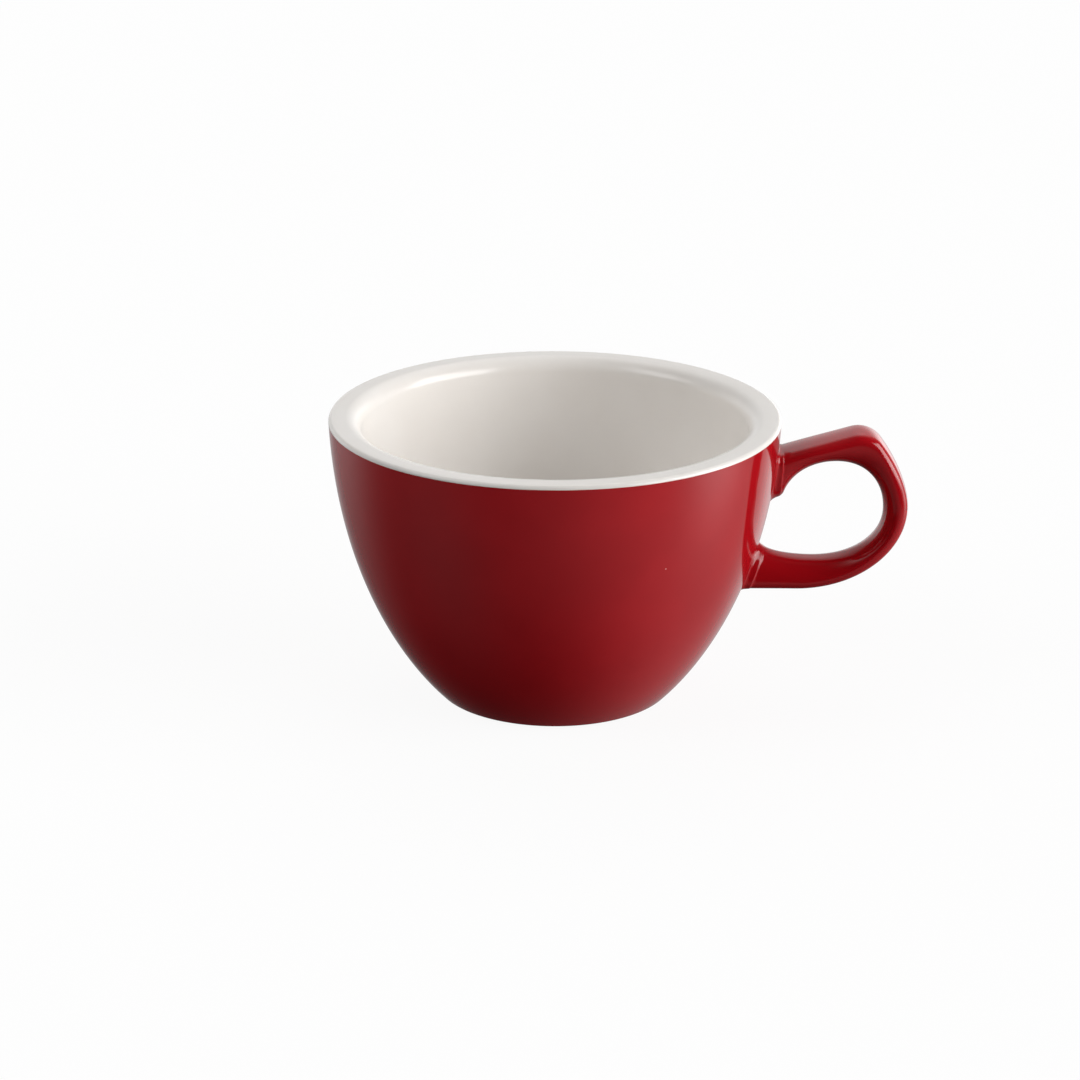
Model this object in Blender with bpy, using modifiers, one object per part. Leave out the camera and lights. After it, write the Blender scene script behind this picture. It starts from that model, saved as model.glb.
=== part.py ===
"""Coffee cup: a turned porcelain bowl, white inside and red outside, with a cast handle luted to its wall.

Metres, +Z up. The cup stands on Z = 0 with its handle towards +X, and the origin is the middle of the
footprint, handle included. Finished sizes are measured over the glaze.
"""

from math import atan2, cos, pi, radians, sin, tan

import bmesh
import bpy
import numpy as np

# Bowl
CUP_HEIGHT = 0.0599
RIM_RADIUS = 0.0465
TOE_RADIUS = 0.0242
WALL = 0.0050
WALL_LEAN_AT_TOE = 46.0
WALL_LEAN_AT_RIM = 2.7
WALL_PULL_AT_TOE = 0.0068
WALL_PULL_AT_RIM = 0.0362

# Lip
LIP_OUTER_ROUND = 0.0009
LIP_INNER_ROUND = 0.0024

# Floor and foot
FLOOR_HEIGHT = 0.0068
FLOOR_FLAT_RADIUS = 0.0100
FLOOR_CURVE_HEIGHT = 0.0130
FOOT_PROUD = 0.0003
TOE_ROUND = 0.0016
FOOT_RING_INSET = 0.0017
FOOT_RING_WIDTH = 0.0036
WELL_DEPTH = 0.0025
WELL_ROUND = 0.0014
WELL_GLAZE_STOP = 0.0008

# Glaze coats
GLAZE = 0.0004
CLEARANCE = 0.0003
TOE_GLAZE_STOP = 74.0

# Finger loop of the handle: heights from the lip, reaches from the wall at the upper root
LOOP_TOP_DROP = 0.0091
LOOP_HEIGHT = 0.0224
LOOP_DEPTH = 0.02255
LOOP_TOP_REACH = 0.0122
LOOP_SIDE_FALL = 0.0119
LOOP_FLOOR_REACH = 0.0078

# Strap of the handle round that loop
STRAP_WIDTH = 0.0088
STRAP_EDGE_ROUND = 0.0017
SIDE_THICKNESS = 0.0047
SIDE_LIFT = 0.0019
BELLY_THICKNESS = 0.0056
BELLY_REACH = 0.0044
THUMB_RISE = 0.00675
THUMB_INSET = 0.00825
THUMB_ROUND = 0.0050
THUMB_FALL = 51.4
ARM_SLOPE = 16.0
UPPER_ROOT_HEIGHT = 0.0092
HEEL_SLOPE = 77.7
LOWER_ROOT_RISE = 0.0018
LOWER_ROOT_SLOPE = 31.5

# Luting slip between each root and the wall
UPPER_SLIP = 0.0012
LOWER_SLIP = 0.0020
SLIP_SIDE_FLARE = 0.0011
UPPER_SLIP_TOP_FLARE = 0.0004
UPPER_SLIP_HEEL_FLARE = 0.0024
LOWER_SLIP_TOP_FLARE = 0.0016
LOWER_SLIP_BELLY_FLARE = 0.0006

# Shape numbers: how full the handle's curves are next to a parabola's
FULL_CURVE = 0.60
ROUND_CURVE = 0.5523

# Fineness of the mesh
TURN_STEPS = 48
WALL_POINTS = 8
ROUND_POINTS = 4
EDGE_POINTS = 4
SLIP_RINGS = 3
LEAST_RING_STEP = 0.05
WALL_SAMPLES = 400
SHARP_FROM = 50.0

# Where the strap's sections stand: places along its outer and inner outline, and the rings to the next row
STATIONS = [
    (0.0, 0.0, 5),
    (0.72, 1.0, 2),
    (1.0, 1.25, 4),
    (2.0, 1.55, 4),
    (3.0, 2.0, 8),
    (4.0, 3.0, 4),
    (5.0, 4.0, 1),
]

SECTION_POINTS = 4 * EDGE_POINTS
COAT = GLAZE + CLEARANCE
COLOUR_LINE_HEIGHT = CUP_HEIGHT - LIP_OUTER_ROUND
FOOT_RING_RADIUS = TOE_RADIUS - FOOT_RING_INSET
UP, LEFT, RIGHT = pi / 2, pi, 0.0


def point(x, z):
    return np.array([x, z], float)


def heading(angle):
    return point(cos(angle), sin(angle))


def cubic(start, pull_start, pull_end, end, count):
    """Points on a cubic curve, with its two pulling points given in place."""
    t = np.linspace(0, 1, count)[:, None]
    s = 1 - t
    return s**3 * start + 3 * s * s * t * pull_start + 3 * s * t * t * pull_end + t**3 * end


def curve_by_corner(start, corner, end, fullness, count):
    """A curve from start to end whose end tangents meet at corner."""
    return cubic(start, start + fullness * (corner - start), end + fullness * (corner - end), end, count)


def meeting_point(first, first_angle, second, second_angle):
    """Where a line through each point, at its own angle, crosses the other."""
    a, b = heading(first_angle), heading(second_angle)
    along = np.linalg.solve(np.array([a, -b]).T, second - first)
    return first + along[0] * a


def arc(centre, radius, start_angle, end_angle, count):
    return np.array([centre + radius * heading(a) for a in np.linspace(start_angle, end_angle, count)])


def inset(line, distance):
    """The line moved to its right, which is into the material, by distance."""
    steps = np.diff(line, axis=0)
    steps /= np.linalg.norm(steps, axis=1)[:, None]
    first = np.vstack([steps[:1], steps])
    second = np.vstack([steps, steps[-1:]])
    along = first + second
    along /= np.linalg.norm(along, axis=1)[:, None]
    stretch = 1 / np.einsum("ij,ij->i", along, first)
    right = np.stack([along[:, 1], -along[:, 0]], axis=1)
    return line + distance * right * stretch[:, None]


def wall_curve(count):
    """Finished outside of the wall, from the toe up to the colour line."""
    toe = point(TOE_RADIUS, FOOT_PROUD)
    rim = point(RIM_RADIUS, COLOUR_LINE_HEIGHT)
    toe_pull = toe + WALL_PULL_AT_TOE * heading(UP - radians(WALL_LEAN_AT_TOE))
    rim_pull = rim - WALL_PULL_AT_RIM * heading(UP - radians(WALL_LEAN_AT_RIM))
    return cubic(toe, toe_pull, rim_pull, rim, count)


def wall_radius(height, depth=0.0, count=WALL_SAMPLES):
    """Outside radius of the wall at a height, on a surface that lies depth under the finished one."""
    line = inset(wall_curve(count)[::-1], depth)[::-1]
    return np.interp(height, line[:, 1], line[:, 0])


def outside_line():
    """Finished outside, down the wall from the colour line and round the toe to where the red glaze stops."""
    lean = radians(WALL_LEAN_AT_TOE)
    tangent = TOE_ROUND / tan((UP + lean) / 2)
    wall = wall_curve(WALL_POINTS)
    toe = wall[0]
    start = toe + tangent * heading(UP - lean)
    above = wall[wall[:, 1] > start[1] + TOE_ROUND]
    centre = toe + point(-tangent, TOE_ROUND)
    return np.vstack([above[::-1], arc(centre, TOE_ROUND, -lean, -radians(TOE_GLAZE_STOP), ROUND_POINTS)])


def inside_line():
    """Finished inside, from the middle of the floor up the wall and over the lip to the colour line."""
    floor_middle = point(0, FLOOR_HEIGHT)
    floor_edge = point(FLOOR_FLAT_RADIUS, FLOOR_HEIGHT)
    inner_round = min(LIP_INNER_ROUND, WALL - LIP_OUTER_ROUND)
    lip_foot = CUP_HEIGHT - inner_round
    parallel = inset(wall_curve(WALL_SAMPLES)[::-1], WALL)[::-1]
    heights = np.linspace(FLOOR_HEIGHT + FLOOR_CURVE_HEIGHT, lip_foot, WALL_POINTS - 2)
    wall = np.stack([np.interp(heights, parallel[:, 1], parallel[:, 0]), heights], axis=1)
    run, rise = wall[1] - wall[0]
    slope = atan2(rise, run)
    corner = meeting_point(floor_edge, RIGHT, wall[0], slope)
    floor_curve = curve_by_corner(floor_edge, corner, wall[0], FULL_CURVE, ROUND_POINTS + 2)
    inner = arc(point(wall[-1, 0] + inner_round, lip_foot), inner_round, pi, UP, ROUND_POINTS)
    start = CLEARANCE / LIP_OUTER_ROUND
    outer_centre = point(RIM_RADIUS - LIP_OUTER_ROUND, COLOUR_LINE_HEIGHT)
    outer = arc(outer_centre, LIP_OUTER_ROUND, UP, start, ROUND_POINTS)
    return np.vstack([floor_middle, floor_curve, wall[1:], inner[1:], outer])


def well_line(start_height):
    """Clay inside the foot ring, from a height up its inner side and across the well to the axis."""
    edge = FOOT_RING_RADIUS - FOOT_RING_WIDTH
    corner = arc(point(edge - WELL_ROUND, WELL_DEPTH - WELL_ROUND), WELL_ROUND, 0, UP, ROUND_POINTS)
    return np.vstack([point(edge, start_height), corner, point(0, WELL_DEPTH)])


def clay_line():
    """The whole clay section, from the middle of the floor over the lip and under the foot to the axis."""
    glazed = inset(np.vstack([inside_line(), outside_line()]), COAT)
    step = point(FOOT_RING_RADIUS, glazed[-1, 1])
    return np.vstack([glazed, step, point(FOOT_RING_RADIUS, 0), well_line(0)])


def coat_line(line):
    """A glaze coat's section: the line itself, then back along its underside."""
    return np.vstack([line, inset(line, GLAZE)[::-1]])


def strap_outlines():
    """The handle's outer and inner outlines, each a list of curves from the upper root to the lower one."""
    loop_top = CUP_HEIGHT - LOOP_TOP_DROP
    loop_floor = loop_top - LOOP_HEIGHT
    wall = wall_radius(loop_top)
    crest = point(wall + LOOP_TOP_REACH, loop_top)
    loop_side = point(wall + LOOP_DEPTH, loop_top - LOOP_SIDE_FALL)
    loop_low = point(wall + LOOP_FLOOR_REACH, loop_floor)
    side = loop_side + point(SIDE_THICKNESS, SIDE_LIFT)
    belly = point(wall + BELLY_REACH, loop_floor - BELLY_THICKNESS)

    thumb = point(side[0] - THUMB_INSET, loop_top + THUMB_RISE)
    root_x = wall + UPPER_SLIP
    root_top = point(root_x, thumb[1] - tan(radians(ARM_SLOPE)) * (thumb[0] - root_x))
    heel = point(root_x, root_top[1] - UPPER_ROOT_HEIGHT)
    turn = radians(ARM_SLOPE + THUMB_FALL)
    tangent = THUMB_ROUND * tan(turn / 2)
    thumb_start = thumb - tangent * heading(radians(ARM_SLOPE))
    thumb_end = thumb + tangent * heading(-radians(THUMB_FALL))
    shoulder = meeting_point(thumb_end, -radians(THUMB_FALL), side, UP)
    thumb_fullness = 4 / 3 * tan(turn / 4) / tan(turn / 2)
    low_root_outer = point(wall_radius(belly[1]) + LOWER_SLIP, belly[1])
    low_root_height = loop_floor + LOWER_ROOT_RISE
    low_root_inner = point(wall_radius(low_root_height) + LOWER_SLIP, low_root_height)
    low_corner = meeting_point(loop_low, LEFT, low_root_inner, -radians(LOWER_ROOT_SLOPE))
    heel_corner = meeting_point(heel, radians(HEEL_SLOPE), crest, RIGHT)

    outer = [
        (root_top, (root_top + thumb_start) / 2, thumb_start, FULL_CURVE),
        (thumb_start, thumb, thumb_end, thumb_fullness),
        (thumb_end, shoulder, side, FULL_CURVE),
        (side, point(side[0], belly[1]), belly, ROUND_CURVE),
        (belly, (belly + low_root_outer) / 2, low_root_outer, FULL_CURVE),
    ]
    inner = [
        (heel, heel_corner, crest, FULL_CURVE),
        (crest, point(loop_side[0], crest[1]), loop_side, FULL_CURVE),
        (loop_side, point(loop_side[0], loop_low[1]), loop_low, FULL_CURVE),
        (loop_low, low_corner, low_root_inner, FULL_CURVE),
    ]
    return outer, inner


def point_along(curves, place):
    """The point at a place counted in curves: 1.5 is halfway along the second one."""
    index = min(int(place), len(curves) - 1)
    start, corner, end, fullness = curves[index]
    t = place - index
    first = start + fullness * (corner - start)
    second = end + fullness * (corner - end)
    s = 1 - t
    return s**3 * start + 3 * s * s * t * first + 3 * s * t * t * second + t**3 * end


def strap_sections():
    """Pairs of outer and inner points, one for each section of the strap from root to root."""
    outer, inner = strap_outlines()
    pairs = []
    for (o0, i0, count), (o1, i1, _) in zip(STATIONS, STATIONS[1:]):
        for share in np.arange(count) / count:
            pairs.append((o0 + (o1 - o0) * share, i0 + (i1 - i0) * share))
    pairs.append(STATIONS[-1][:2])
    return [(point_along(outer, o), point_along(inner, i)) for o, i in pairs]


def section_ring(outer, inner, half_width, depth):
    """One closed section of the strap, a rectangle with rounded edges, depth under its finished surface."""
    middle = (outer + inner) / 2
    half_depth = np.linalg.norm(outer - inner) / 2
    outwards = (outer - middle) / half_depth
    edge_round = min(STRAP_EDGE_ROUND, half_depth, half_width)
    flat = half_depth - edge_round
    side = half_width - edge_round
    ring = []
    for turn, (across, sideways) in enumerate(((flat, side), (-flat, side), (-flat, -side), (flat, -side))):
        edge = arc(point(across, sideways), edge_round - depth, turn * UP, (turn + 1) * UP, EDGE_POINTS)
        for along, y in edge:
            x, z = middle + along * outwards
            ring.append((x, y, z))
    return np.array(ring)


def distance_on_wall(ring, depth):
    """X of each point of a ring when it is moved along X on to the turned wall, depth under its surface."""
    return np.sqrt(wall_radius(ring[:, 2], depth, WALL_POINTS) ** 2 - ring[:, 1] ** 2)


def slip_rings(root, outer_shift, inner_shift, depth, wall_depth, seam):
    """Rings of the slip from a root to the wall, flaring like a fillet, then straight in under its surface.

    The first ring stands a seam away from the root. With no seam it is the strap's own, and is left out.
    """
    outer, inner = root
    half_width = STRAP_WIDTH / 2
    start = section_ring(outer, inner, half_width, depth)
    flared = (outer + point(0, outer_shift), inner + point(0, inner_shift))
    end = section_ring(*flared, half_width + SLIP_SIDE_FLARE, depth)
    end[:, 0] = distance_on_wall(end, 0)
    sunk = end.copy()
    sunk[:, 0] = distance_on_wall(end, wall_depth)
    heart = (end + end.mean(axis=0)) / 2
    heart[:, 0] = distance_on_wall(heart, wall_depth)

    seam_share = seam / (start[:, 0] - end[:, 0])
    shares = [seam_share] if seam else []
    for step in range(1, SLIP_RINGS + 1):
        share = sin(UP * step / SLIP_RINGS)
        if share > seam_share.max() + LEAST_RING_STEP:
            shares.append(np.full(SECTION_POINTS, share))
    rings = []
    for share in shares:
        flare = 1 - np.sqrt(1 - share**2)
        mix = np.stack([share, flare, flare], axis=1)
        rings.append(start * (1 - mix) + end * mix)
    return rings + [sunk, heart]


def upper_slip_rings(depth, wall_depth, seam):
    root = strap_sections()[0]
    return slip_rings(root, UPPER_SLIP_TOP_FLARE, -UPPER_SLIP_HEEL_FLARE, depth, wall_depth, seam)


def lower_slip_rings(depth, wall_depth, seam):
    root = strap_sections()[-1]
    return slip_rings(root, -LOWER_SLIP_BELLY_FLARE, LOWER_SLIP_TOP_FLARE, depth, wall_depth, seam)


def strap_rings(depth):
    return [section_ring(outer, inner, STRAP_WIDTH / 2, depth) for outer, inner in strap_sections()]


def whole_strap_rings(depth, wall_depth):
    """The strap with both slip joints, from wall to wall."""
    upper = upper_slip_rings(depth, wall_depth, 0)
    lower = lower_slip_rings(depth, wall_depth, 0)
    return upper[::-1] + strap_rings(depth) + lower


def clear_scene():
    for thing in list(bpy.data.objects):
        bpy.data.objects.remove(thing, do_unlink=True)


def new_collection(name):
    collection = bpy.data.collections.new(name)
    bpy.context.scene.collection.children.link(collection)
    return collection


def new_material(name, colour, roughness):
    material = bpy.data.materials.new(name)
    material.use_nodes = True
    shader = material.node_tree.nodes["Principled BSDF"]
    shader.inputs["Base Color"].default_value = (*colour, 1)
    shader.inputs["Roughness"].default_value = roughness
    shader.inputs["Metallic"].default_value = 0.0
    return material


def new_object(name, mesh, collection, material):
    thing = bpy.data.objects.new(name, mesh)
    collection.objects.link(thing)
    if material:
        mesh.materials.append(material)
    return thing


def turned(name, line, closed, collection, material):
    """A profile turned about the Z axis: a closed one makes a ring, an open one starts and ends on the axis."""
    mesh = bpy.data.meshes.new(name)
    count = len(line)
    edges = [(i, i + 1) for i in range(count - 1)]
    if closed:
        edges.append((count - 1, 0))
    mesh.from_pydata([(x, 0, z) for x, z in line], edges, [])
    thing = new_object(name, mesh, collection, material)
    screw = thing.modifiers.new("turn", "SCREW")
    screw.axis = "Z"
    screw.angle = 2 * pi
    screw.steps = TURN_STEPS
    screw.render_steps = TURN_STEPS
    screw.use_merge_vertices = True
    screw.merge_threshold = 0.00001
    screw.use_smooth_shade = True
    return thing


def lofted(name, rings, collection, material):
    """A closed skin over a row of rings."""
    mesh = bpy.data.meshes.new(name)
    build = bmesh.new()
    rows = [[build.verts.new(p) for p in ring] for ring in rings]
    for row, following in zip(rows, rows[1:]):
        for i in range(SECTION_POINTS):
            j = (i + 1) % SECTION_POINTS
            build.faces.new((row[i], row[j], following[j], following[i]))
    for row, ring in ((rows[0], rings[0]), (rows[-1], rings[-1])):
        middle = build.verts.new(ring.mean(axis=0))
        for i in range(SECTION_POINTS):
            build.faces.new((row[i - 1], row[i], middle))
    bmesh.ops.recalc_face_normals(build, faces=build.faces)
    build.to_mesh(mesh)
    build.free()
    mesh.shade_smooth()
    mesh.set_sharp_from_angle(angle=radians(SHARP_FROM))
    return new_object(name, mesh, collection, material)


def boolean(thing, operation, other):
    modifier = thing.modifiers.new(operation.lower(), "BOOLEAN")
    modifier.operation = operation
    modifier.object = other
    modifier.solver = "EXACT"


def as_helper(thing):
    thing.hide_render = True
    thing.display_type = "WIRE"
    return thing


def build_bowl(parts, clay, white_glaze, red_glaze):
    under = inset(well_line(WELL_GLAZE_STOP), -CLEARANCE)
    return [
        turned("cup_body", clay_line(), False, parts, clay),
        turned("liner_glaze", coat_line(inside_line()), False, parts, white_glaze),
        turned("foot_well_glaze", np.vstack([under[::-1], inset(under, -GLAZE)]), False, parts, red_glaze),
    ]


def build_handle(parts, clay):
    on_clay = COAT - CLEARANCE
    return [
        lofted("handle", strap_rings(COAT), parts, clay),
        lofted("upper_handle_joint", upper_slip_rings(COAT, on_clay, CLEARANCE), parts, clay),
        lofted("lower_handle_joint", lower_slip_rings(COAT, on_clay, CLEARANCE), parts, clay),
    ]


def build_outer_glaze(parts, helpers, red_glaze):
    """The red coat: a turned skin joined to a skin round the handle, hollowed for the clay and the slip."""
    in_the_coat = GLAZE / 2
    under_the_coat = COAT * 2
    coat = turned("outer_glaze", coat_line(outside_line()), True, parts, red_glaze)
    skin = as_helper(lofted("strap_skin", whole_strap_rings(0, in_the_coat), helpers, None))
    core = as_helper(lofted("strap_core", whole_strap_rings(GLAZE, under_the_coat), helpers, None))
    boolean(coat, "UNION", skin)
    boolean(coat, "DIFFERENCE", core)
    return [coat, skin, core]


def build_cup():
    clear_scene()
    parts = new_collection("coffee_cup")
    helpers = new_collection("coffee_cup_helpers")
    clay = new_material("porcelain", (0.78, 0.74, 0.68), 0.60)
    white_glaze = new_material("white_glaze", (0.83, 0.80, 0.76), 0.15)
    red_glaze = new_material("red_glaze", (0.36, 0.006, 0.012), 0.10)
    things = build_bowl(parts, clay, white_glaze, red_glaze)
    things += build_handle(parts, clay)
    things += build_outer_glaze(parts, helpers, red_glaze)

    axis = bpy.data.objects.new("cup_axis", None)
    parts.objects.link(axis)
    outer, _ = strap_outlines()
    reach = outer[3][0][0]
    axis.location.x = (RIM_RADIUS - reach) / 2
    for thing in things:
        thing.parent = axis


build_cup()
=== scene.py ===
"""Looks of a coffee cup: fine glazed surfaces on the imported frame, with a plain studio and a camera.

Metres, +Z up. The cup stands on Z = 0 with its handle towards +X.
"""

from math import atan2, cos, pi, radians, sin, tan

import bmesh
import bpy
import numpy as np
from mathutils import Matrix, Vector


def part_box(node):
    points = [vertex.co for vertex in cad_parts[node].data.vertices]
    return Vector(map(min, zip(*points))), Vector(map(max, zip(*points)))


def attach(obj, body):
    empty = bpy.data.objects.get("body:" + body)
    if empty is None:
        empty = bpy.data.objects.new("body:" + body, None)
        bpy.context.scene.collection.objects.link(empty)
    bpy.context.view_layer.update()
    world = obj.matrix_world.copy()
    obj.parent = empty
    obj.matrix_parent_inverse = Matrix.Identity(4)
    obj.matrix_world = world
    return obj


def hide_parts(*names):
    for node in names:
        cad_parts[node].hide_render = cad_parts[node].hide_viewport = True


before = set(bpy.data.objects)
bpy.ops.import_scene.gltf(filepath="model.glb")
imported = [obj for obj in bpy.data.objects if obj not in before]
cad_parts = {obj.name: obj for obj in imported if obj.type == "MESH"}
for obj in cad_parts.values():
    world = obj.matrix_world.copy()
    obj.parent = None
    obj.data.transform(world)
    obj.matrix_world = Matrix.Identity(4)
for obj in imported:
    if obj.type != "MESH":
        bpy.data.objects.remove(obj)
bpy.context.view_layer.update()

# Sizes that the frame gives
CLAY_LOW, CLAY_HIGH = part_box("cup_body")
COAT_LOW, COAT_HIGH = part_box("outer_glaze")
AXIS_X = (CLAY_LOW.x + CLAY_HIGH.x) / 2
RIM_RADIUS = (COAT_HIGH.y - COAT_LOW.y) / 2
HANDLE_REACH = COAT_HIGH.x - AXIS_X
FRAME_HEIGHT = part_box("liner_glaze")[1].z

# Bowl and lip
LIP_SLACK = 0.0001
CUP_HEIGHT = FRAME_HEIGHT - LIP_SLACK
LIP_OUTER_ROUND = 0.0008
LIP_INNER_ROUND = 0.0032
WALL = 0.0065
TOE_RADIUS = 0.02415
TOE_ROUND = 0.0016
WALL_LEAN_AT_TOE = 46.0
WALL_LEAN_AT_RIM = 2.7
WALL_PULL_AT_TOE = 0.0068
WALL_PULL_AT_RIM = 0.0362
COLOUR_LINE_HEIGHT = CUP_HEIGHT - LIP_OUTER_ROUND

# Bottom of the inside, and foot
BOTTOM_HEIGHT = 0.0068
BOTTOM_FLAT_RADIUS = 0.0100
BOTTOM_CURVE_RISE = 0.0130
FOOT_PROUD = 0.0003
FOOT_RING_RADIUS = 0.0225
FOOT_RING_WIDTH = 0.0036
FOOT_EDGE_ROUND = 0.0005
WELL_DEPTH = 0.0025
WELL_ROUND = 0.0014
WELL_GLAZE_STOP = 0.0008

# Glaze coats, and how the red one laps over the white one at the colour line
GLAZE = 0.0004
CLEARANCE = 0.0003
COAT = GLAZE + CLEARANCE
TOE_GLAZE_STOP = 74.0
LAP = 0.0006
LAP_THICKNESS = 0.00003
LAP_GAP = 0.00001

# Waver of the colour line: its depth, and its waves as their number round the rim, share and start
COLOUR_LINE_WAVER = 0.00004
WAVES = [(5, 1.0, 0.4), (11, 0.8, 2.1), (23, 0.6, 4.0)]

# Finger loop of the handle: heights from the lip, reaches from the wall at the upper root
LOOP_TOP_DROP = 0.00973
LOOP_HEIGHT = 0.02096
LOOP_TOP_REACH = 0.01198
LOOP_SIDE_FALL = 0.01069
LOOP_FLOOR_REACH = 0.0081

# Strap of the handle round that loop: a nearly flat outer face with round edges, a half-round inner side
ARM_WIDTH = 0.0095
STRAP_WIDTH = 0.0088
STRAP_EDGE_ROUND = 0.0019
FACE_CROWN = 7.0
HEEL_ROUND = 0.0010
SIDE_THICKNESS = 0.00497
SIDE_LIFT = 0.00105
BELLY_THICKNESS = 0.00654
BELLY_REACH = 0.00471
THUMB_RISE = 0.00759
THUMB_INSET = 0.00821
THUMB_ROUND = 0.00586
THUMB_FALL = 52.5
ARM_SLOPE = 16.0
UPPER_ROOT_HEIGHT = 0.01031
HEEL_SLOPE = 76.7
LOWER_ROOT_RISE = 0.00187
LOWER_ROOT_SLOPE = 35.0

# Slip joints at the two roots: a low collar that steps out from the strap, then a fillet on to the wall
UPPER_SLIP = 0.00127
LOWER_SLIP = 0.0020
SLIP_SIDE_FLARE = 0.0011
UPPER_SLIP_TOP_FLARE = 0.0004
UPPER_SLIP_HEEL_FLARE = 0.0030
LOWER_SLIP_TOP_FLARE = 0.0016
LOWER_SLIP_BELLY_FLARE = 0.0006
COLLAR_STEP = 0.28
COLLAR_EDGE = 0.18
COLLAR_END = 0.50

# Fullness of the curves that have a corner: 2/3 would make a parabola, and the round one is nearly a circle
FULL_CURVE = 0.60
ROUND_CURVE = 0.5523

# Fineness of the meshes
TURN_STEPS = 256
WALL_POINTS = 72
ROUND_POINTS = 14
BOTTOM_POINTS = 24
EDGE_POINTS = 14
FACE_POINTS = 8
INNER_POINTS = 22
RINGS_PER_STEP = 5
SLIP_RINGS = 28
WALL_SAMPLES = 600
SHARP_FROM = 40.0
WELD = 1e-7

# Red glaze: its colours and the scales of its patterns. Specks have a scale, a size and a rarity.
RED_DEEP = (0.365, 0.0045, 0.0085, 1)
RED_BRIGHT = (0.405, 0.0060, 0.0105, 1)
RED_MARK = (0.80, 0.42, 0.40, 1)
RED_DEPTH_SCALE = 55
RED_GLOSS_SCALE = 130
RED_SKIN_SCALE = 240
RED_ROUGHNESS = (0.055, 0.085)
DUST = (95, 0.022, 0.72)
DUST_COVER = 0.75
DUST_HEIGHT = 0.5
LINT = (120, 0.022, 0.80)
LINT_COVER = 0.16
LINT_ROUGHNESS = 0.1

# Lint: how its way is turned, and how much finer it is across than along it
LINT_TURN = (0.5, 0.3, 0.9)
LINT_STRETCH = (1.0, 1.0, 0.12)

# White glaze: its colours, the scales of its patterns and its pinholes
WHITE_DULL = (0.81, 0.772, 0.732, 1)
WHITE_CLEAR = (0.838, 0.806, 0.77, 1)
WHITE_MARK = (0.42, 0.38, 0.34, 1)
WHITE_CLOUD_SCALE = 40
WHITE_GLOSS_SCALE = 110
WHITE_SKIN_SCALE = 200
WHITE_ROUGHNESS = (0.16, 0.22)
PINHOLES = (80, 0.016, 0.80)
PINHOLE_COVER = 0.35
PINHOLE_HEIGHT = -0.6

# Both glazes: how they bend light and how far their skin ripples
GLAZE_IOR = 1.5
RIPPLE_STRENGTH = 0.06
RIPPLE_DEPTH = 0.0003

# Bare clay: its colours, its grain and its grits
CLAY_DARK = (0.70, 0.66, 0.60, 1)
CLAY_PALE = (0.80, 0.77, 0.71, 1)
CLAY_GRIT = (0.33, 0.27, 0.21, 1)
CLAY_IOR = 1.45
CLAY_ROUGHNESS = (0.52, 0.72)
GRAIN_SCALE = 900
GRAIN_STRENGTH = 0.25
GRAIN_DEPTH = 0.0001
GRITS = (260, 0.09, 0.78)
GRIT_COVER = 0.6

# Noise lies mostly between these values, and grain is cut closer. The detail is how many finer layers it has.
NOISE_LOW, NOISE_HIGH = 0.3, 0.7
GRAIN_LOW, GRAIN_HIGH = 0.35, 0.65
CLOUD_DETAIL = 3
GLOSS_DETAIL = 2
SKIN_DETAIL = 1
GRAIN_DETAIL = 4

# Where the strap's sections stand: places along its outer and inner outline, and the steps to the next row.
# Between two places on the outer outline it narrows from the arm's width to its own.
STATIONS = [
    (0.0, 0.0, 5),
    (0.72, 1.0, 2),
    (1.0, 1.25, 4),
    (2.0, 1.55, 4),
    (3.0, 2.0, 8),
    (4.0, 3.0, 4),
    (5.0, 4.0, 1),
]
NARROWS_FROM, NARROWS_TO = 2.0, 4.0

# Camera: where it stands as seen from a point on the cup's axis, and how it is turned from facing that way
AIM_HEIGHT = 0.0303
CAMERA_DISTANCE = 0.700
CAMERA_ELEVATION = 19.733
CAMERA_PAN = -0.261
CAMERA_DIP = 19.578
CAMERA_ROLL = 0.126
CAMERA_LENS = 111.95
SENSOR_WIDTH = 36.0

# Softbox: azimuth from the camera's side towards the handle, elevation, half width and half height, all in
# degrees, and strength. The other lights have azimuth, elevation, how narrow they are, and strength.
SOFTBOX = (68, 18.6, 26, 20, 5.5)
SOFTBOX_EDGE = 0.09
SOFT_LIGHTS = {
    "key_low": (91, -5, 20.0, 2.85),
    "fill": (-70, 35, 20.0, 4.05),
    "left_wall": (-127, 5, 11.5, 1.42),
    "right_wall": (151, -3, 20.0, 2.0),
    "backdrop": (174, 49, 8.2, 1.42),
    "backdrop_low": (-169, 0, 17.7, 0.96),
}

# Light off the floor, which starts a little below the horizon
FLOOR_ELEVATION = -28
FLOOR_NARROWNESS = 8.0
FLOOR_LIGHTS = {
    "front": (0, FLOOR_ELEVATION, FLOOR_NARROWNESS, 0.12),
    "front_right": (40, FLOOR_ELEVATION, FLOOR_NARROWNESS, 0.22),
    "right": (80, FLOOR_ELEVATION, FLOOR_NARROWNESS, 0.35),
    "behind_right": (120, FLOOR_ELEVATION, FLOOR_NARROWNESS, 0.17),
    "behind": (160, FLOOR_ELEVATION, FLOOR_NARROWNESS, 0.25),
    "left": (-65, FLOOR_ELEVATION, FLOOR_NARROWNESS, 0.17),
    "below": (120, -58, FLOOR_NARROWNESS, 0.09),
}
FLOOR_STARTS, FLOOR_FULL = -15.0, -23.0

# Floor: a pale surface that takes a faint shadow, and a glow that makes it even
FLOOR_SIZE = 6.0
FLOOR_PALENESS = 0.08
FLOOR_GLOW = 0.92
FLOOR_ROUGHNESS = 0.9
FLOOR_IOR = 1.4

# Plain white, and angles in an upright plane
PLAIN_WHITE = (1, 1, 1, 1)
UP, LEFT, RIGHT = pi / 2, pi, 0.0


def point(x, z):
    """A point of an upright plane: how far out, and how high."""
    return np.array([x, z], float)


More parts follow.
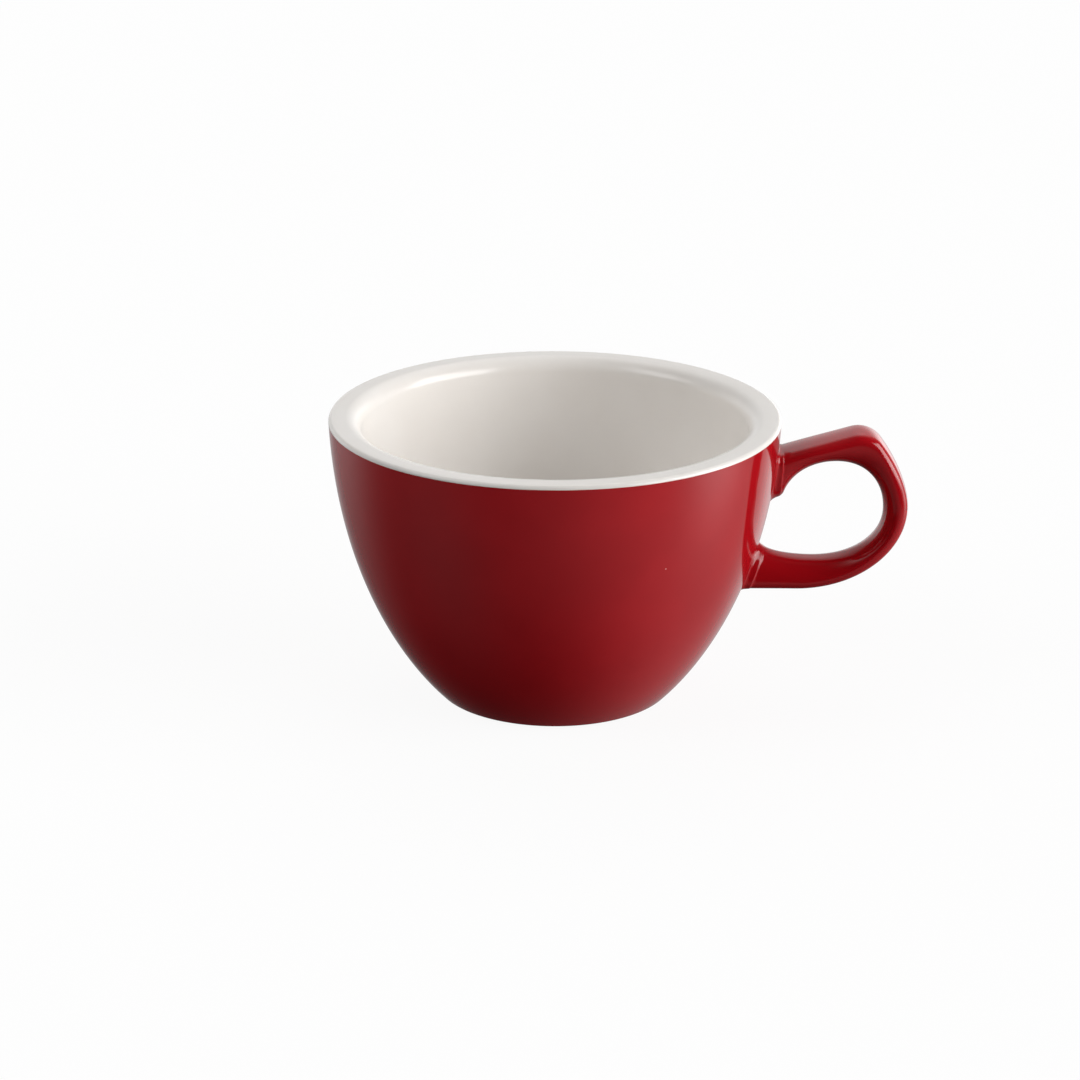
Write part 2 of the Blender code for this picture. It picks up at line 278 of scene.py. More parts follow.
def heading(angle):
    """One unit along a way in that plane, by its angle from level."""
    return point(cos(angle), sin(angle))


def on_cubic(start, pull_start, pull_end, end, t):
    """The point of a cubic curve at a share t of its way, with its two pulling points given in place."""
    s = 1 - t
    return s**3 * start + 3 * s * s * t * pull_start + 3 * s * t * t * pull_end + t**3 * end


def cubic(start, pull_start, pull_end, end, count):
    """A count of points along a cubic curve."""
    return on_cubic(start, pull_start, pull_end, end, np.linspace(0, 1, count)[:, None])


def by_corner(start, corner, end, fullness):
    """The four points of a cubic curve whose end tangents meet at a corner."""
    return start, start + fullness * (corner - start), end + fullness * (corner - end), end


def meeting_point(first, first_angle, second, second_angle):
    """Where a line through each point, at its own angle, crosses the other."""
    a, b = heading(first_angle), heading(second_angle)
    along = np.linalg.solve(np.array([a, -b]).T, second - first)
    return first + along[0] * a


def arc(centre, radius, start_angle, end_angle, count):
    """A count of points round a centre, from one angle to another."""
    return np.array([centre + radius * heading(a) for a in np.linspace(start_angle, end_angle, count)])


def smooth_step(value):
    """A share that starts and ends gently, held between 0 and 1."""
    t = np.clip(value, 0, 1)
    return t * t * (3 - 2 * t)


def inset(line, distance):
    """The line moved to its right, which is into the material, by one distance or by one for each point."""
    steps = np.diff(line, axis=0)
    steps /= np.linalg.norm(steps, axis=1)[:, None]
    first = np.vstack([steps[:1], steps])
    second = np.vstack([steps, steps[-1:]])
    along = first + second
    along /= np.linalg.norm(along, axis=1)[:, None]
    stretch = 1 / np.einsum("ij,ij->i", along, first)
    right = np.stack([along[:, 1], -along[:, 0]], axis=1)
    return line + right * (stretch * distance)[:, None]


def wall_curve(count):
    """Finished outside of the wall, from the toe up to the colour line."""
    toe = point(TOE_RADIUS, FOOT_PROUD)
    rim = point(RIM_RADIUS, COLOUR_LINE_HEIGHT)
    toe_pull = toe + WALL_PULL_AT_TOE * heading(UP - radians(WALL_LEAN_AT_TOE))
    rim_pull = rim - WALL_PULL_AT_RIM * heading(UP - radians(WALL_LEAN_AT_RIM))
    return cubic(toe, toe_pull, rim_pull, rim, count)


def wall_radius(height, depth=0.0):
    """Outside radius of the wall at a height, on a surface that lies depth under the finished one."""
    line = inset(wall_curve(WALL_SAMPLES)[::-1], depth)[::-1]
    return np.interp(height, line[:, 1], line[:, 0])


def outside_line():
    """Finished outside, from the colour line down the wall and round the toe to the red glaze's end."""
    lean = radians(WALL_LEAN_AT_TOE)
    tangent = TOE_ROUND / tan((UP + lean) / 2)
    wall = wall_curve(WALL_POINTS)
    toe = wall[0]
    start = toe + tangent * heading(UP - lean)
    above = wall[wall[:, 1] > start[1] + TOE_ROUND / 2]
    lap = point(np.interp(COLOUR_LINE_HEIGHT - LAP, wall[:, 1], wall[:, 0]), COLOUR_LINE_HEIGHT - LAP)
    above = np.vstack([above[:-1], lap, above[-1]])
    above = above[np.argsort(above[:, 1])]
    centre = toe + point(-tangent, TOE_ROUND)
    round_toe = arc(centre, TOE_ROUND, -lean, -radians(TOE_GLAZE_STOP), ROUND_POINTS)
    return np.vstack([above[::-1], round_toe])


def inside_line():
    """Finished inside, from the middle of the bottom up the wall and over the lip to the colour line."""
    bottom_middle = point(0, BOTTOM_HEIGHT)
    bottom_edge = point(BOTTOM_FLAT_RADIUS, BOTTOM_HEIGHT)
    lip_foot = CUP_HEIGHT - LIP_INNER_ROUND
    parallel = inset(wall_curve(WALL_SAMPLES)[::-1], WALL)[::-1]
    heights = np.linspace(BOTTOM_HEIGHT + BOTTOM_CURVE_RISE, lip_foot, WALL_POINTS)
    wall = np.stack([np.interp(heights, parallel[:, 1], parallel[:, 0]), heights], axis=1)
    run, rise = wall[1] - wall[0]
    corner = meeting_point(bottom_edge, RIGHT, wall[0], atan2(rise, run))
    bottom_curve = cubic(*by_corner(bottom_edge, corner, wall[0], FULL_CURVE), BOTTOM_POINTS)
    inner = arc(point(wall[-1, 0] + LIP_INNER_ROUND, lip_foot), LIP_INNER_ROUND, pi, UP, ROUND_POINTS)
    outer_centre = point(RIM_RADIUS - LIP_OUTER_ROUND, COLOUR_LINE_HEIGHT)
    outer = arc(outer_centre, LIP_OUTER_ROUND, UP, 0, ROUND_POINTS)
    return np.vstack([bottom_middle, bottom_curve, wall[1:], inner[1:], outer])


def well_line(start_height):
    """Clay inside the foot ring, from a height up its inner side and across the well to the axis."""
    edge = FOOT_RING_RADIUS - FOOT_RING_WIDTH
    corner = arc(point(edge - WELL_ROUND, WELL_DEPTH - WELL_ROUND), WELL_ROUND, 0, UP, ROUND_POINTS)
    return np.vstack([point(edge, start_height), corner, point(0, WELL_DEPTH)])


def foot_line(start_height):
    """Clay of the bare foot ring, from a height down its outer side and under it to the inner edge."""
    outer = FOOT_RING_RADIUS - FOOT_EDGE_ROUND
    inner = FOOT_RING_RADIUS - FOOT_RING_WIDTH + FOOT_EDGE_ROUND
    return np.vstack([
        point(FOOT_RING_RADIUS, start_height),
        arc(point(outer, FOOT_EDGE_ROUND), FOOT_EDGE_ROUND, 0, -UP, ROUND_POINTS),
        arc(point(inner, FOOT_EDGE_ROUND), FOOT_EDGE_ROUND, -UP, -pi, ROUND_POINTS),
    ])


def clay_line():
    """The whole clay section, from the middle of the bottom over the lip and under the foot to the axis."""
    glazed = inset(np.vstack([inside_line(), outside_line()[1:]]), COAT)
    return np.vstack([glazed, foot_line(glazed[-1, 1]), well_line(FOOT_EDGE_ROUND)[1:]])


def round_end(first, last):
    """Half a circle from first to last, bulging to the left of the way across."""
    middle = (first + last) / 2
    radius = np.linalg.norm(last - first) / 2
    start = atan2(*(first - middle)[::-1])
    return arc(middle, radius, start, start - pi, ROUND_POINTS)[1:-1]


def red_coat_line():
    """The red coat's section: down the outside to a rounded end at the toe, then back up its underside."""
    line = outside_line()
    below = (COLOUR_LINE_HEIGHT - line[:, 1]) / LAP - 1
    thickness = LAP_THICKNESS + (GLAZE - LAP_THICKNESS) * smooth_step(below)
    under = inset(line, thickness)
    return np.vstack([line, round_end(line[-1], under[-1]), under[::-1]])


def liner_line():
    """The white coat's section: over the inside and the lip, a short way under the red one, then back."""
    line = inside_line()
    wall = outside_line()
    lapped = inset(wall[wall[:, 1] >= COLOUR_LINE_HEIGHT - LAP - CLEARANCE / 2], LAP_THICKNESS + LAP_GAP)
    top = np.vstack([line, lapped[1:]])
    depth = np.full(len(top), GLAZE)
    depth[len(line):] = GLAZE - LAP_THICKNESS
    return np.vstack([top, inset(top, depth)[::-1]])


def well_glaze_line():
    """The red coat inside the foot ring, from the axis out along the clay and back to the axis."""
    on_clay = inset(well_line(WELL_GLAZE_STOP), -CLEARANCE)
    face = inset(on_clay, -GLAZE)
    return np.vstack([on_clay[::-1], round_end(on_clay[0], face[0]), face])


def strap_outlines():
    """The handle's outer and inner outlines, each a list of curves from the upper root to the lower one."""
    loop_top = FRAME_HEIGHT - LOOP_TOP_DROP
    loop_floor = loop_top - LOOP_HEIGHT
    wall = wall_radius(loop_top)
    crest = point(wall + LOOP_TOP_REACH, loop_top)
    loop_side = point(HANDLE_REACH - SIDE_THICKNESS, loop_top - LOOP_SIDE_FALL)
    loop_low = point(wall + LOOP_FLOOR_REACH, loop_floor)
    side = loop_side + point(SIDE_THICKNESS, SIDE_LIFT)
    belly = point(wall + BELLY_REACH, loop_floor - BELLY_THICKNESS)

    thumb = point(side[0] - THUMB_INSET, loop_top + THUMB_RISE)
    root_x = wall + UPPER_SLIP
    root_top = point(root_x, thumb[1] - tan(radians(ARM_SLOPE)) * (thumb[0] - root_x))
    heel = point(root_x, root_top[1] - UPPER_ROOT_HEIGHT)
    turn = radians(ARM_SLOPE + THUMB_FALL)
    tangent = THUMB_ROUND * tan(turn / 2)
    thumb_start = thumb - tangent * heading(radians(ARM_SLOPE))
    thumb_end = thumb + tangent * heading(-radians(THUMB_FALL))
    shoulder = meeting_point(thumb_end, -radians(THUMB_FALL), side, UP)
    thumb_fullness = 4 / 3 * tan(turn / 4) / tan(turn / 2)
    low_root_outer = point(wall_radius(belly[1]) + LOWER_SLIP, belly[1])
    low_root_height = loop_floor + LOWER_ROOT_RISE
    low_root_inner = point(wall_radius(low_root_height) + LOWER_SLIP, low_root_height)
    low_corner = meeting_point(loop_low, LEFT, low_root_inner, -radians(LOWER_ROOT_SLOPE))
    heel_corner = meeting_point(heel, radians(HEEL_SLOPE), crest, RIGHT)

    outer = [
        (root_top, (root_top + thumb_start) / 2, thumb_start, FULL_CURVE),
        (thumb_start, thumb, thumb_end, thumb_fullness),
        (thumb_end, shoulder, side, FULL_CURVE),
        (side, point(side[0], belly[1]), belly, ROUND_CURVE),
        (belly, (belly + low_root_outer) / 2, low_root_outer, FULL_CURVE),
    ]
    inner = [
        (heel, heel_corner, crest, FULL_CURVE),
        (crest, point(loop_side[0], crest[1]), loop_side, FULL_CURVE),
        (loop_side, point(loop_side[0], loop_low[1]), loop_low, FULL_CURVE),
        (loop_low, low_corner, low_root_inner, FULL_CURVE),
    ]
    return outer, inner


def point_along(curves, place):
    """The point at a place counted in curves: 1.5 is halfway along the second one."""
    index = min(int(place), len(curves) - 1)
    return on_cubic(*by_corner(*curves[index]), place - index)


def strap_sections():
    """Outer point, inner point and half width of each section of the strap, from root to root."""
    outer, inner = strap_outlines()
    pairs = []
    for (o0, i0, steps), (o1, i1, _) in zip(STATIONS, STATIONS[1:]):
        count = steps * RINGS_PER_STEP
        for share in np.arange(count) / count:
            pairs.append((o0 + (o1 - o0) * share, i0 + (i1 - i0) * share))
    pairs.append(STATIONS[-1][:2])
    sections = []
    for o, i in pairs:
        narrowing = smooth_step((o - NARROWS_FROM) / (NARROWS_TO - NARROWS_FROM))
        half_width = (ARM_WIDTH + (STRAP_WIDTH - ARM_WIDTH) * narrowing) / 2
        sections.append((point_along(outer, o), point_along(inner, i), half_width))
    return sections


def section_ring(outer, inner, half_width, depth):
    """One closed section of the strap, depth under its finished surface.

    Its outer face is a little crowned and has round edges, and its inner side is half an ellipse.
    """
    thickness = np.linalg.norm(outer - inner)
    outwards = (outer - inner) / thickness
    crown = radians(FACE_CROWN)
    face_round = (half_width - STRAP_EDGE_ROUND * (1 - sin(crown))) / sin(crown)
    widest = face_round * (1 - cos(crown)) + STRAP_EDGE_ROUND * cos(crown)
    face = arc(point(-face_round, 0), face_round - depth, 0, crown, FACE_POINTS)
    edge_centre = point(-widest, half_width - STRAP_EDGE_ROUND)
    edge = arc(edge_centre, STRAP_EDGE_ROUND - depth, crown, UP, EDGE_POINTS)
    turn = np.linspace(0, UP, INNER_POINTS)
    inner_across = -widest - (thickness - widest - depth) * np.sin(turn)
    inner_side = np.stack([inner_across, (half_width - depth) * np.cos(turn)], axis=1)
    near_half = np.vstack([face[:-1], edge, inner_side[1:]])
    far_half = near_half[-2:0:-1] * (1, -1)
    across, sideways = np.vstack([near_half, far_half]).T
    x, z = outer[:, None] + outwards[:, None] * across
    return np.stack([x, sideways, z], axis=1)


def eased(distance, own_way, other_way):
    """How far a point moves when the heel's corner is rounded, by its distance from that corner."""
    gone = min(distance, HEEL_ROUND)
    share = (1 - gone / HEEL_ROUND) / 2
    return ((1 - share) ** 2 * HEEL_ROUND - gone) * own_way + share**2 * HEEL_ROUND * other_way


def distance_on_wall(ring, depth):
    """X of each point of a ring when it is moved along X on to the turned wall, depth under its surface."""
    return np.sqrt(wall_radius(ring[:, 2], depth) ** 2 - ring[:, 1] ** 2)


def fillet(share):
    """How far a fillet has flared, from 0 where it starts to 1 where it meets the wall."""
    return 1 - np.sqrt(1 - np.clip(share, 0, 1) ** 2)


def collar(share):
    """How far the slip's sides have flared: a small step out from the strap, then a fillet."""
    step = COLLAR_STEP * smooth_step(share / COLLAR_EDGE)
    return step + (1 - COLLAR_STEP) * fillet((share - COLLAR_END) / (1 - COLLAR_END))


def slip_rings(root, leans, shifts, depth):
    """Rings of the slip from a root to the wall, then a little way in under the wall's surface.

    The leans are the slopes with which the strap's outer and inner side arrive, and the shifts are how far
    the slip carries each of them along the wall.
    """
    outer, inner, half_width = root
    start = section_ring(outer, inner, half_width, depth)
    flared = (outer + point(0, shifts[0]), inner + point(0, shifts[1]))
    end = section_ring(*flared, half_width + SLIP_SIDE_FLARE, depth)
    end[:, 0] = distance_on_wall(end, 0)
    sunk = end.copy()
    sunk[:, 0] = distance_on_wall(end, GLAZE / 2)
    run = start[:, 0] - end[:, 0]
    inwards = (outer[1] - start[:, 2]) / (outer[1] - inner[1])
    straight = run * (leans[0] + (leans[1] - leans[0]) * inwards)
    rings = []
    for step in range(1, SLIP_RINGS + 1):
        share = sin(UP * step / SLIP_RINGS)
        x = start[:, 0] - run * share
        y = start[:, 1] + (end[:, 1] - start[:, 1]) * collar(share)
        z = start[:, 2] + straight * share + (end[:, 2] - start[:, 2] - straight) * fillet(share)
        rings.append(np.stack([x, y, z], axis=1))
    return rings + [sunk]


def round_heel(rings, corner, own_way, other_way):
    """Rounds the tip that the heel makes where the strap's inner side turns towards the wall."""
    rounded = []
    for ring in rings:
        lowest = ring[np.argmin(ring[:, 2])]
        move_x, move_z = eased(np.hypot(lowest[0] - corner[0], lowest[2] - corner[1]), own_way, other_way)
        height = ring[:, 2].max() - lowest[2]
        share = smooth_step(1 - (ring[:, 2] - lowest[2]) / height)
        rounded.append(ring + np.stack([move_x * share, 0 * share, move_z * share], axis=1))
    return rounded


def strap_rings(depth):
    """Rings of the upper slip joint, the strap and the lower slip joint, on the way from wall to wall."""
    sections = strap_sections()
    arm_lean = -tan(radians(ARM_SLOPE))
    low_lean = tan(radians(LOWER_ROOT_SLOPE))
    upper_shifts = (UPPER_SLIP_TOP_FLARE, -UPPER_SLIP_HEEL_FLARE)
    lower_shifts = (-LOWER_SLIP_BELLY_FLARE, LOWER_SLIP_TOP_FLARE)
    upper = slip_rings(sections[0], (arm_lean, 0), upper_shifts, depth)
    lower = slip_rings(sections[-1], (0, low_lean), lower_shifts, depth)
    strap = [section_ring(outer, inner, half_width, depth) for outer, inner, half_width in sections]
    heel = sections[0][1] + point(0, depth)
    up_the_strap = heading(radians(HEEL_SLOPE))
    to_the_wall = heading(LEFT)
    upper = round_heel(upper, heel, to_the_wall, up_the_strap)
    strap = round_heel(strap, heel, up_the_strap, to_the_wall)
    return upper[::-1], strap, lower


def whole_strap_rings(depth):
    """The strap with both slip joints, from wall to wall."""
    upper, strap, lower = strap_rings(depth)
    return upper + strap + lower


def with_ends(rings):
    """Rings with a flat end added to the first and to the last of them."""
    first, last = [np.broadcast_to(ring.mean(axis=0), ring.shape) for ring in (rings[0], rings[-1])]
    return [first] + rings + [last]


def skin_over(name, rows, close_rows, material):
    """A smooth object over rows of points, each row a closed loop, placed on the cup's axis."""
    mesh = bpy.data.meshes.new(name)
    build = bmesh.new()
    made = [[build.verts.new(p) for p in row] for row in rows]
    following = made[1:] + made[:1] if close_rows else made[1:]
    for row, after in zip(made, following):
        for i in range(len(row)):
            build.faces.new((row[i - 1], row[i], after[i], after[i - 1]))
    bmesh.ops.remove_doubles(build, verts=build.verts, dist=WELD)
    bmesh.ops.translate(build, verts=build.verts, vec=(AXIS_X, 0, 0))
    bmesh.ops.recalc_face_normals(build, faces=build.faces)
    build.to_mesh(mesh)
    build.free()
    mesh.shade_smooth()
    mesh.set_sharp_from_angle(angle=radians(SHARP_FROM))
    mesh.materials.append(material)
    thing = bpy.data.objects.new(name, mesh)
    bpy.context.scene.collection.objects.link(thing)
    return thing


def turned(name, line, closed, material, waver=None):
    """A profile turned about the cup's axis. The waver moves points up by their height and their angle."""
    angles = np.arange(TURN_STEPS) / TURN_STEPS * 2 * pi
    rows = []
    for radius, height in line:
        lift = waver(height, angles) if waver else 0
        heights = np.broadcast_to(height + lift, angles.shape)
        rows.append(np.stack([radius * np.cos(angles), radius * np.sin(angles), heights], axis=1))
    return skin_over(name, rows, closed, material)


def colour_line_waver(height, angles):
    """The sprayed edge of the red coat isn't quite level: it wanders a little, most at the edge itself."""
    wander = sum(share * np.sin(number * angles + start) for number, share, start in WAVES)
    most = sum(share for _, share, _ in WAVES)
    near_edge = smooth_step(1 - (COLOUR_LINE_HEIGHT - height) / LAP)
    return -COLOUR_LINE_WAVER * near_edge * (1 + wander / most) / 2


def new_material(name, ior):
    """A material and its shader."""
    material = bpy.data.materials.new(name)
    material.use_nodes = True
    shader = material.node_tree.nodes["Principled BSDF"]
    shader.inputs["IOR"].default_value = ior
    return material, shader


def add_node(tree, kind, inputs, **settings):
    """A new node with its settings, and its inputs set to values or joined to other nodes' outputs."""
    node = tree.nodes.new(kind)
    for name, value in settings.items():
        setattr(node, name, value)
    for name, value in inputs.items():
        if isinstance(value, bpy.types.NodeSocket):
            tree.links.new(value, node.inputs[name])
        else:
            node.inputs[name].default_value = value
    return node


def place_on(tree):
    """Where a point lies on the object, in metres."""
    return add_node(tree, "ShaderNodeTexCoord", {}).outputs["Object"]


def noise(tree, place, scale, detail):
    """Soft noise, by how many of its cells fit in a metre and how many finer layers it has."""
    inputs = {"Vector": place, "Scale": scale, "Detail": detail}
    return add_node(tree, "ShaderNodeTexNoise", inputs).outputs["Fac"]


def spread(tree, value, low, high, new_low, new_high):
    """A value moved smoothly from one range to another and held inside it."""
    inputs = {"Value": value, "From Min": low, "From Max": high, "To Min": new_low, "To Max": new_high}
    node = add_node(tree, "ShaderNodeMapRange", inputs, interpolation_type="SMOOTHSTEP")
    return node.outputs["Result"]


def calculate(tree, operation, *values):
    """The result of one arithmetic step on numbers and other nodes' outputs."""
    return add_node(tree, "ShaderNodeMath", dict(enumerate(values)), operation=operation).outputs["Value"]


def times(tree, first, second):
    return calculate(tree, "MULTIPLY", first, second)


def added(tree, first, second):
    return calculate(tree, "ADD", first, second)


def mixed(tree, share, first, second):
    """One colour turning into another by a share that changes over the surface."""
    node = add_node(tree, "ShaderNodeMix", {0: share, 6: first, 7: second}, data_type="RGBA")
    return node.outputs[2]


def specks(tree, place, scale, size, rarity):
    """Tiny round dots, 1 inside and 0 outside: one for each cell of a scale, of which some are left out."""
    cells = add_node(tree, "ShaderNodeTexVoronoi", {"Vector": place, "Scale": scale})
    dot = spread(tree, cells.outputs["Distance"], size / 2, size, 1, 0)
    pick = add_node(tree, "ShaderNodeSeparateColor", {"Color": cells.outputs["Color"]}).outputs["Red"]
    return times(tree, dot, calculate(tree, "GREATER_THAN", pick, rarity))


def drawn_out(tree, place):
    """The place turned and stretched, so that specks on it become short fine hairs."""
    inputs = {"Vector": place, "Rotation": LINT_TURN, "Scale": LINT_STRETCH}
    return add_node(tree, "ShaderNodeMapping", inputs).outputs["Vector"]


def bumped(tree, height, strength, distance):
    """Normals of a surface that is raised by a height."""
    node = add_node(tree, "ShaderNodeBump", {"Height": height, "Strength": strength, "Distance": distance})
    return node.outputs["Normal"]


def finish_surface(tree, shader, colour, roughness, normal):
    """Joins the colour, the roughness and the normals to the shader."""
    tree.links.new(colour, shader.inputs["Base Color"])
    tree.links.new(roughness, shader.inputs["Roughness"])
    tree.links.new(normal, shader.inputs["Normal"])


def red_glaze():
    """Glossy red glaze: slow shifts of depth, an almost level skin, a few dust specks and hairlines."""
    material, shader = new_material("red_glaze_fine", GLAZE_IOR)
    tree = material.node_tree
    place = place_on(tree)
    depth = spread(tree, noise(tree, place, RED_DEPTH_SCALE, CLOUD_DETAIL), NOISE_LOW, NOISE_HIGH, 0, 1)
    red = mixed(tree, depth, RED_DEEP, RED_BRIGHT)
    dust = specks(tree, place, *DUST)
    lint = specks(tree, drawn_out(tree, place), *LINT)
    marks = added(tree, times(tree, dust, DUST_COVER), times(tree, lint, LINT_COVER))
    colour = mixed(tree, marks, red, RED_MARK)
    sheen = noise(tree, place, RED_GLOSS_SCALE, GLOSS_DETAIL)
    gloss = spread(tree, sheen, NOISE_LOW, NOISE_HIGH, *RED_ROUGHNESS)
    roughness = added(tree, gloss, times(tree, lint, LINT_ROUGHNESS))
    ripple = noise(tree, place, RED_SKIN_SCALE, SKIN_DETAIL)
    skin = added(tree, ripple, times(tree, dust, DUST_HEIGHT))
    finish_surface(tree, shader, colour, roughness, bumped(tree, skin, RIPPLE_STRENGTH, RIPPLE_DEPTH))
    return material


def white_glaze():
    """Glossy warm white glaze: faint clouding, a few tiny grey pinholes and a gently rippled skin."""
    material, shader = new_material("white_glaze_fine", GLAZE_IOR)
    tree = material.node_tree
    place = place_on(tree)
    cloud = spread(tree, noise(tree, place, WHITE_CLOUD_SCALE, CLOUD_DETAIL), NOISE_LOW, NOISE_HIGH, 0, 1)
    white = mixed(tree, cloud, WHITE_DULL, WHITE_CLEAR)
    pinholes = specks(tree, place, *PINHOLES)
    colour = mixed(tree, times(tree, pinholes, PINHOLE_COVER), white, WHITE_MARK)
    sheen = noise(tree, place, WHITE_GLOSS_SCALE, GLOSS_DETAIL)
    gloss = spread(tree, sheen, NOISE_LOW, NOISE_HIGH, *WHITE_ROUGHNESS)
    ripple = noise(tree, place, WHITE_SKIN_SCALE, SKIN_DETAIL)
    skin = added(tree, ripple, times(tree, pinholes, PINHOLE_HEIGHT))
    finish_surface(tree, shader, colour, gloss, bumped(tree, skin, RIPPLE_STRENGTH, RIPPLE_DEPTH))
    return material


def bare_clay():
    """Bare fired porcelain: warm off-white, matte, with fine grain and a few dark grits."""
    material, shader = new_material("bare_clay_fine", CLAY_IOR)
    tree = material.node_tree
    place = place_on(tree)
    grain = noise(tree, place, GRAIN_SCALE, GRAIN_DETAIL)
    tone = mixed(tree, spread(tree, grain, GRAIN_LOW, GRAIN_HIGH, 0, 1), CLAY_DARK, CLAY_PALE)
    grits = specks(tree, place, *GRITS)
    colour = mixed(tree, times(tree, grits, GRIT_COVER), tone, CLAY_GRIT)
    roughness = spread(tree, grain, NOISE_LOW, NOISE_HIGH, *CLAY_ROUGHNESS)
    finish_surface(tree, shader, colour, roughness, bumped(tree, grain, GRAIN_STRENGTH, GRAIN_DEPTH))
    return material


def dress(piece, slot, *nodes):
    """The piece rides on the cup, and the frame's nodes under it are hidden."""
    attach(piece, "root")
    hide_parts(*nodes)


def build_cup():
    """All pieces of the cup: the coats first, then the clay under them."""
    red = red_glaze()
    white = white_glaze()
    clay = bare_clay()
    wall = turned("wall_glaze_fine", red_coat_line(), True, red, colour_line_waver)
    dress(wall, "red_glaze", "outer_glaze")
    coat_rings = whole_strap_rings(0) + whole_strap_rings(GLAZE)[::-1]
    handle = skin_over("handle_glaze_fine", coat_rings, True, red)
    dress(handle, "red_glaze", "outer_glaze")
    liner = turned("liner_glaze_fine", liner_line(), False, white)
    dress(liner, "white_glaze", "liner_glaze")
    body = turned("bowl_clay_fine", clay_line(), False, clay)
    dress(body, "porcelain", "cup_body")
    well = turned("foot_well_glaze_fine", well_glaze_line(), False, red)
    dress(well, "red_glaze", "foot_well_glaze")
    upper_slip, strap, lower_slip = strap_rings(COAT)
    clay_rings = {
        "handle": strap,
        "upper_handle_joint": upper_slip[1:],
        "lower_handle_joint": lower_slip[:-1],
    }
    for node, rings in clay_rings.items():
        piece = skin_over(node + "_fine", with_ends(rings), False, clay)
        dress(piece, "porcelain", node)


def direction(azimuth, elevation):
    """A way out from the cup: azimuth 0 is the camera's side, and 90 the handle's."""
    a, e = radians(azimuth), radians(elevation)
    return (sin(a) * cos(e), -cos(a) * cos(e), sin(e))


def facing(tree, way, azimuth, elevation):
    """How well a way points in a direction: 1 straight along it, 0 square to it."""
    inputs = {0: way, 1: direction(azimuth, elevation)}
    return add_node(tree, "ShaderNodeVectorMath", inputs, operation="DOT_PRODUCT").outputs["Value"]


def light_from(tree, way, lights):
    """The sum of some broad soft lights, seen along a way."""
    total = 0.0
    for azimuth, elevation, narrowness, strength in lights.values():
        ahead = facing(tree, way, azimuth, elevation)
        falloff = calculate(tree, "MULTIPLY_ADD", ahead, narrowness, -narrowness)
        lobe = calculate(tree, "EXPONENT", falloff)
        total = calculate(tree, "MULTIPLY_ADD", lobe, strength, total)
    return total


def softbox_light(tree, way, softbox):
    """A panel of even light with soft edges, seen along a way."""
    azimuth, elevation, half_width, half_height, strength = softbox
    ahead = facing(tree, way, azimuth, elevation)
    light = spread(tree, ahead, 0, SOFTBOX_EDGE, 0, strength)
    sides = [(azimuth + 90, 0, half_width), (azimuth, elevation + 90, half_height)]
    for side_azimuth, side_elevation, half_size in sides:
        offset = facing(tree, way, side_azimuth, side_elevation)
        reach = calculate(tree, "ABSOLUTE", calculate(tree, "DIVIDE", offset, ahead))
        edge = tan(radians(half_size))
        light = times(tree, light, spread(tree, reach, edge + SOFTBOX_EDGE, edge - SOFTBOX_EDGE, 0, 1))
    return light


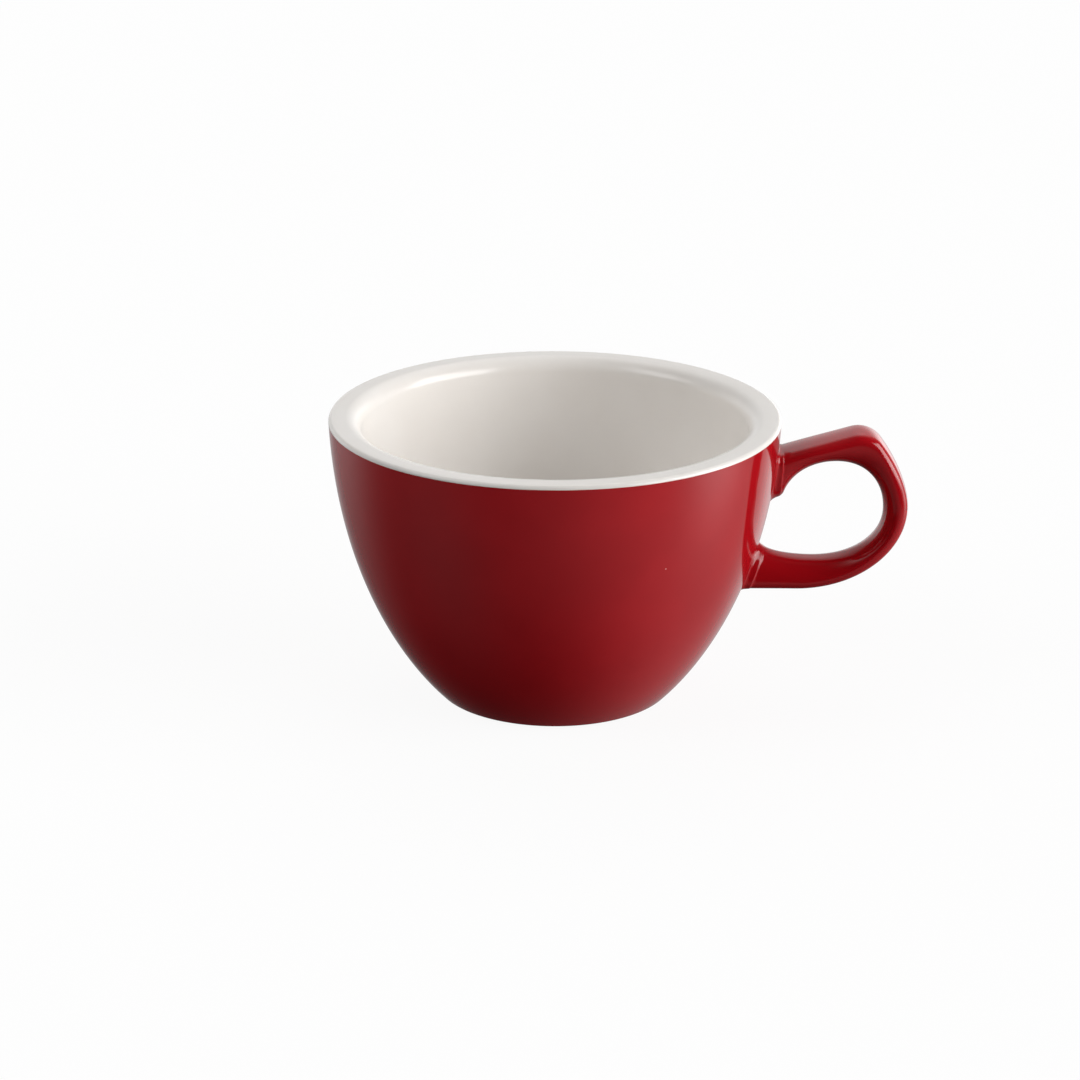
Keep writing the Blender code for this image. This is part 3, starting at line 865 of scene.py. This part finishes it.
def light_studio(softbox, lights, floor_lights):
    """Soft light from all round and off the floor, with plain white where the camera sees past the cup."""
    world = bpy.data.worlds.new("studio")
    world.use_nodes = True
    bpy.context.scene.world = world
    tree = world.node_tree
    tree.nodes.clear()
    way = add_node(tree, "ShaderNodeTexCoord", {}).outputs["Generated"]
    rise = add_node(tree, "ShaderNodeSeparateXYZ", {"Vector": way}).outputs["Z"]
    below = spread(tree, rise, sin(radians(FLOOR_STARTS)), sin(radians(FLOOR_FULL)), 0, 1)
    off_floor = times(tree, light_from(tree, way, floor_lights), below)
    panel = softbox_light(tree, way, softbox)
    total = added(tree, added(tree, panel, light_from(tree, way, lights)), off_floor)
    soft_light = add_node(tree, "ShaderNodeBackground", {"Color": PLAIN_WHITE, "Strength": total})
    plain = add_node(tree, "ShaderNodeBackground", {"Color": PLAIN_WHITE, "Strength": 1.0})
    seen = add_node(tree, "ShaderNodeLightPath", {}).outputs["Is Camera Ray"]
    both = add_node(tree, "ShaderNodeMixShader", {0: seen, 1: soft_light.outputs[0], 2: plain.outputs[0]})
    add_node(tree, "ShaderNodeOutputWorld", {"Surface": both.outputs[0]})


def lay_floor():
    """A plain pale floor under the cup. The light that it sends up is among the studio's."""
    mesh = bpy.data.meshes.new("floor")
    half = FLOOR_SIZE / 2
    corners = [(-half, -half, 0), (half, -half, 0), (half, half, 0), (-half, half, 0)]
    mesh.from_pydata(corners, [], [(0, 1, 2, 3)])
    material, pale = new_material("pale_floor", FLOOR_IOR)
    pale.inputs["Base Color"].default_value = (FLOOR_PALENESS, FLOOR_PALENESS, FLOOR_PALENESS, 1)
    pale.inputs["Roughness"].default_value = FLOOR_ROUGHNESS
    pale.inputs["Specular IOR Level"].default_value = 0.0
    pale.inputs["Emission Color"].default_value = PLAIN_WHITE
    pale.inputs["Emission Strength"].default_value = FLOOR_GLOW
    mesh.materials.append(material)
    floor = bpy.data.objects.new("floor", mesh)
    floor.visible_diffuse = False
    floor.visible_glossy = False
    floor.visible_shadow = False
    bpy.context.scene.collection.objects.link(floor)


def set_camera():
    """The camera, where the photograph was taken from."""
    data = bpy.data.cameras.new("camera")
    data.sensor_width = SENSOR_WIDTH
    data.lens = CAMERA_LENS
    camera = bpy.data.objects.new("camera", data)
    bpy.context.scene.collection.objects.link(camera)
    elevation = radians(CAMERA_ELEVATION)
    back = CAMERA_DISTANCE * cos(elevation)
    place = Matrix.Translation((AXIS_X, -back, AIM_HEIGHT + CAMERA_DISTANCE * sin(elevation)))
    pan = Matrix.Rotation(-radians(CAMERA_PAN), 4, "Z")
    dip = Matrix.Rotation(UP - radians(CAMERA_DIP), 4, "X")
    roll = Matrix.Rotation(radians(CAMERA_ROLL), 4, "Z")
    camera.matrix_world = place @ pan @ dip @ roll
    bpy.context.scene.camera = camera


build_cup()
light_studio(SOFTBOX, SOFT_LIGHTS, FLOOR_LIGHTS)
lay_floor()
set_camera()
bpy.context.scene.view_settings.view_transform = "Standard"
